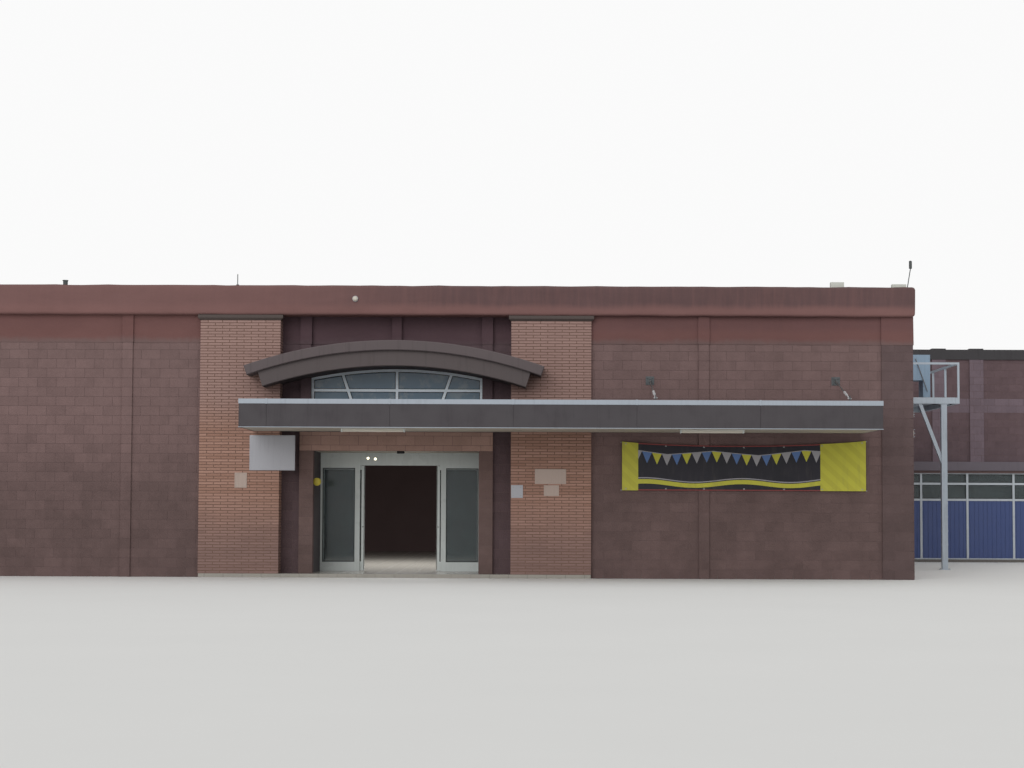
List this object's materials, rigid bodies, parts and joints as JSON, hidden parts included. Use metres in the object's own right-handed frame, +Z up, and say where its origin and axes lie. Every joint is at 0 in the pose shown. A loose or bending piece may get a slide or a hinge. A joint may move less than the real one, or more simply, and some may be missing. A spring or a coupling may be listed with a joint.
{
  "type": "supermarket building",
  "caption": "Single-storey block supermarket with brick entrance piers, eyebrow arch over an arched window, long flat canopy and glazed sliding doors.",
  "frame": {"origin": "on the ground under the middle of the entrance, in the plane of the sliding doors", "axes": "+X to the right along the front, +Y into the building, +Z up"},
  "size_m": [33.32, 25.395, 6.76],
  "materials": {
    "floor_tiles": "polished floor tiles, worn",
    "block_wall": "rough reddish-brown block with flush joints",
    "brick": "fired brick in running bond with pale joints",
    "cap_render": "dark grey moulded render",
    "parapet_render": "hand-finished reddish render",
    "arch_render": "smooth grey-brown render",
    "coping_render": "dark grey render, weathered",
    "block_grey": "pale loose block",
    "roof_sheet": "ribbed roof sheet",
    "canopy_paint": "matt grey-brown paint",
    "soffit": "pale soffit boards",
    "flashing": "white metal trim",
    "light_cover": "opal light cover",
    "steel_paint": "pale blue-grey gloss paint",
    "white_frame": "white coated aluminium",
    "glass": "clear, slightly tinted",
    "porch_lining": "painted render",
    "blue_panel": "blue panel",
    "duct_sheet": "pale blue sheet metal",
    "banner_vinyl": "printed vinyl, satin",
    "mast_metal": "dark paint"
  },
  "bodies": {
    "building": {"floor_slab": "floor_tiles", "wing_floor": "floor_tiles", "front_wall_left": "block_wall", "front_wall_right": "block_wall", "side_wall_left": "block_wall", "side_wall_right": "block_wall", "back_wall": "block_wall", "entrance_wall_left": "block_wall", "entrance_wall_right": "block_wall", "entrance_wall_over": "block_wall", "entrance_surround": "block_wall", "brick_pier_left": "brick", "brick_pier_right": "brick", "pier_caps": "cap_render", "parapet_front": "parapet_render", "parapet_left": "parapet_render", "parapet_right": "parapet_render", "parapet_back": "parapet_render", "wall_pilasters": "block_wall", "hall_roof": "roof_sheet", "wing_roof": "roof_sheet", "arch_beam": "arch_render", "arch_cornice": "arch_render", "arch_window_frame": "white_frame", "arch_window_glass": "glass", "canopy_deck": "canopy_paint", "canopy_soffit": "soffit", "canopy_flashing": "flashing", "canopy_lights": "light_cover", "canopy_tie_rods": "steel_paint", "porch_walls": "porch_lining", "porch_ceiling": "porch_lining", "entrance_frame": "white_frame", "entrance_glass": "glass", "entrance_header": "white_frame", "wing_front_wall": "block_wall", "wing_side_wall": "block_wall", "wing_back_wall": "block_wall", "wing_pilasters": "block_wall", "wing_lintel": "parapet_render", "wing_coping": "coping_render", "shopfront_frame": "white_frame", "shopfront_glass": "glass", "shopfront_panels": "blue_panel", "platform_deck": "steel_paint", "platform_railing": "steel_paint", "platform_legs": "steel_paint", "air_duct": "duct_sheet", "banner": "banner_vinyl", "corner_mast": "mast_metal", "parapet_blocks": "block_grey", "parapet_rods": "mast_metal", "roof_seams": "roof_sheet", "wall_lamps": "light_cover", "dome_camera": "light_cover", "door_sensor": "mast_metal"},
    "left_leaf": {"door_leaf_left": "white_frame", "door_glass_left": "glass"},
    "right_leaf": {"door_leaf_right": "white_frame", "door_glass_right": "glass"}
  },
  "joints": [
    {"name": "left_leaf_slide", "type": "slide", "parent": "building", "child": "left_leaf", "axis": [1, 0, 0], "range_m": [0, 0.79]},
    {"name": "right_leaf_slide", "type": "slide", "parent": "building", "child": "right_leaf", "axis": [-1, 0, 0], "range_m": [0, 0.79]}
  ],
  "couplings": [
    {"joint": "right_leaf_slide", "follows": "left_leaf_slide", "ratio": 1}
  ]
}
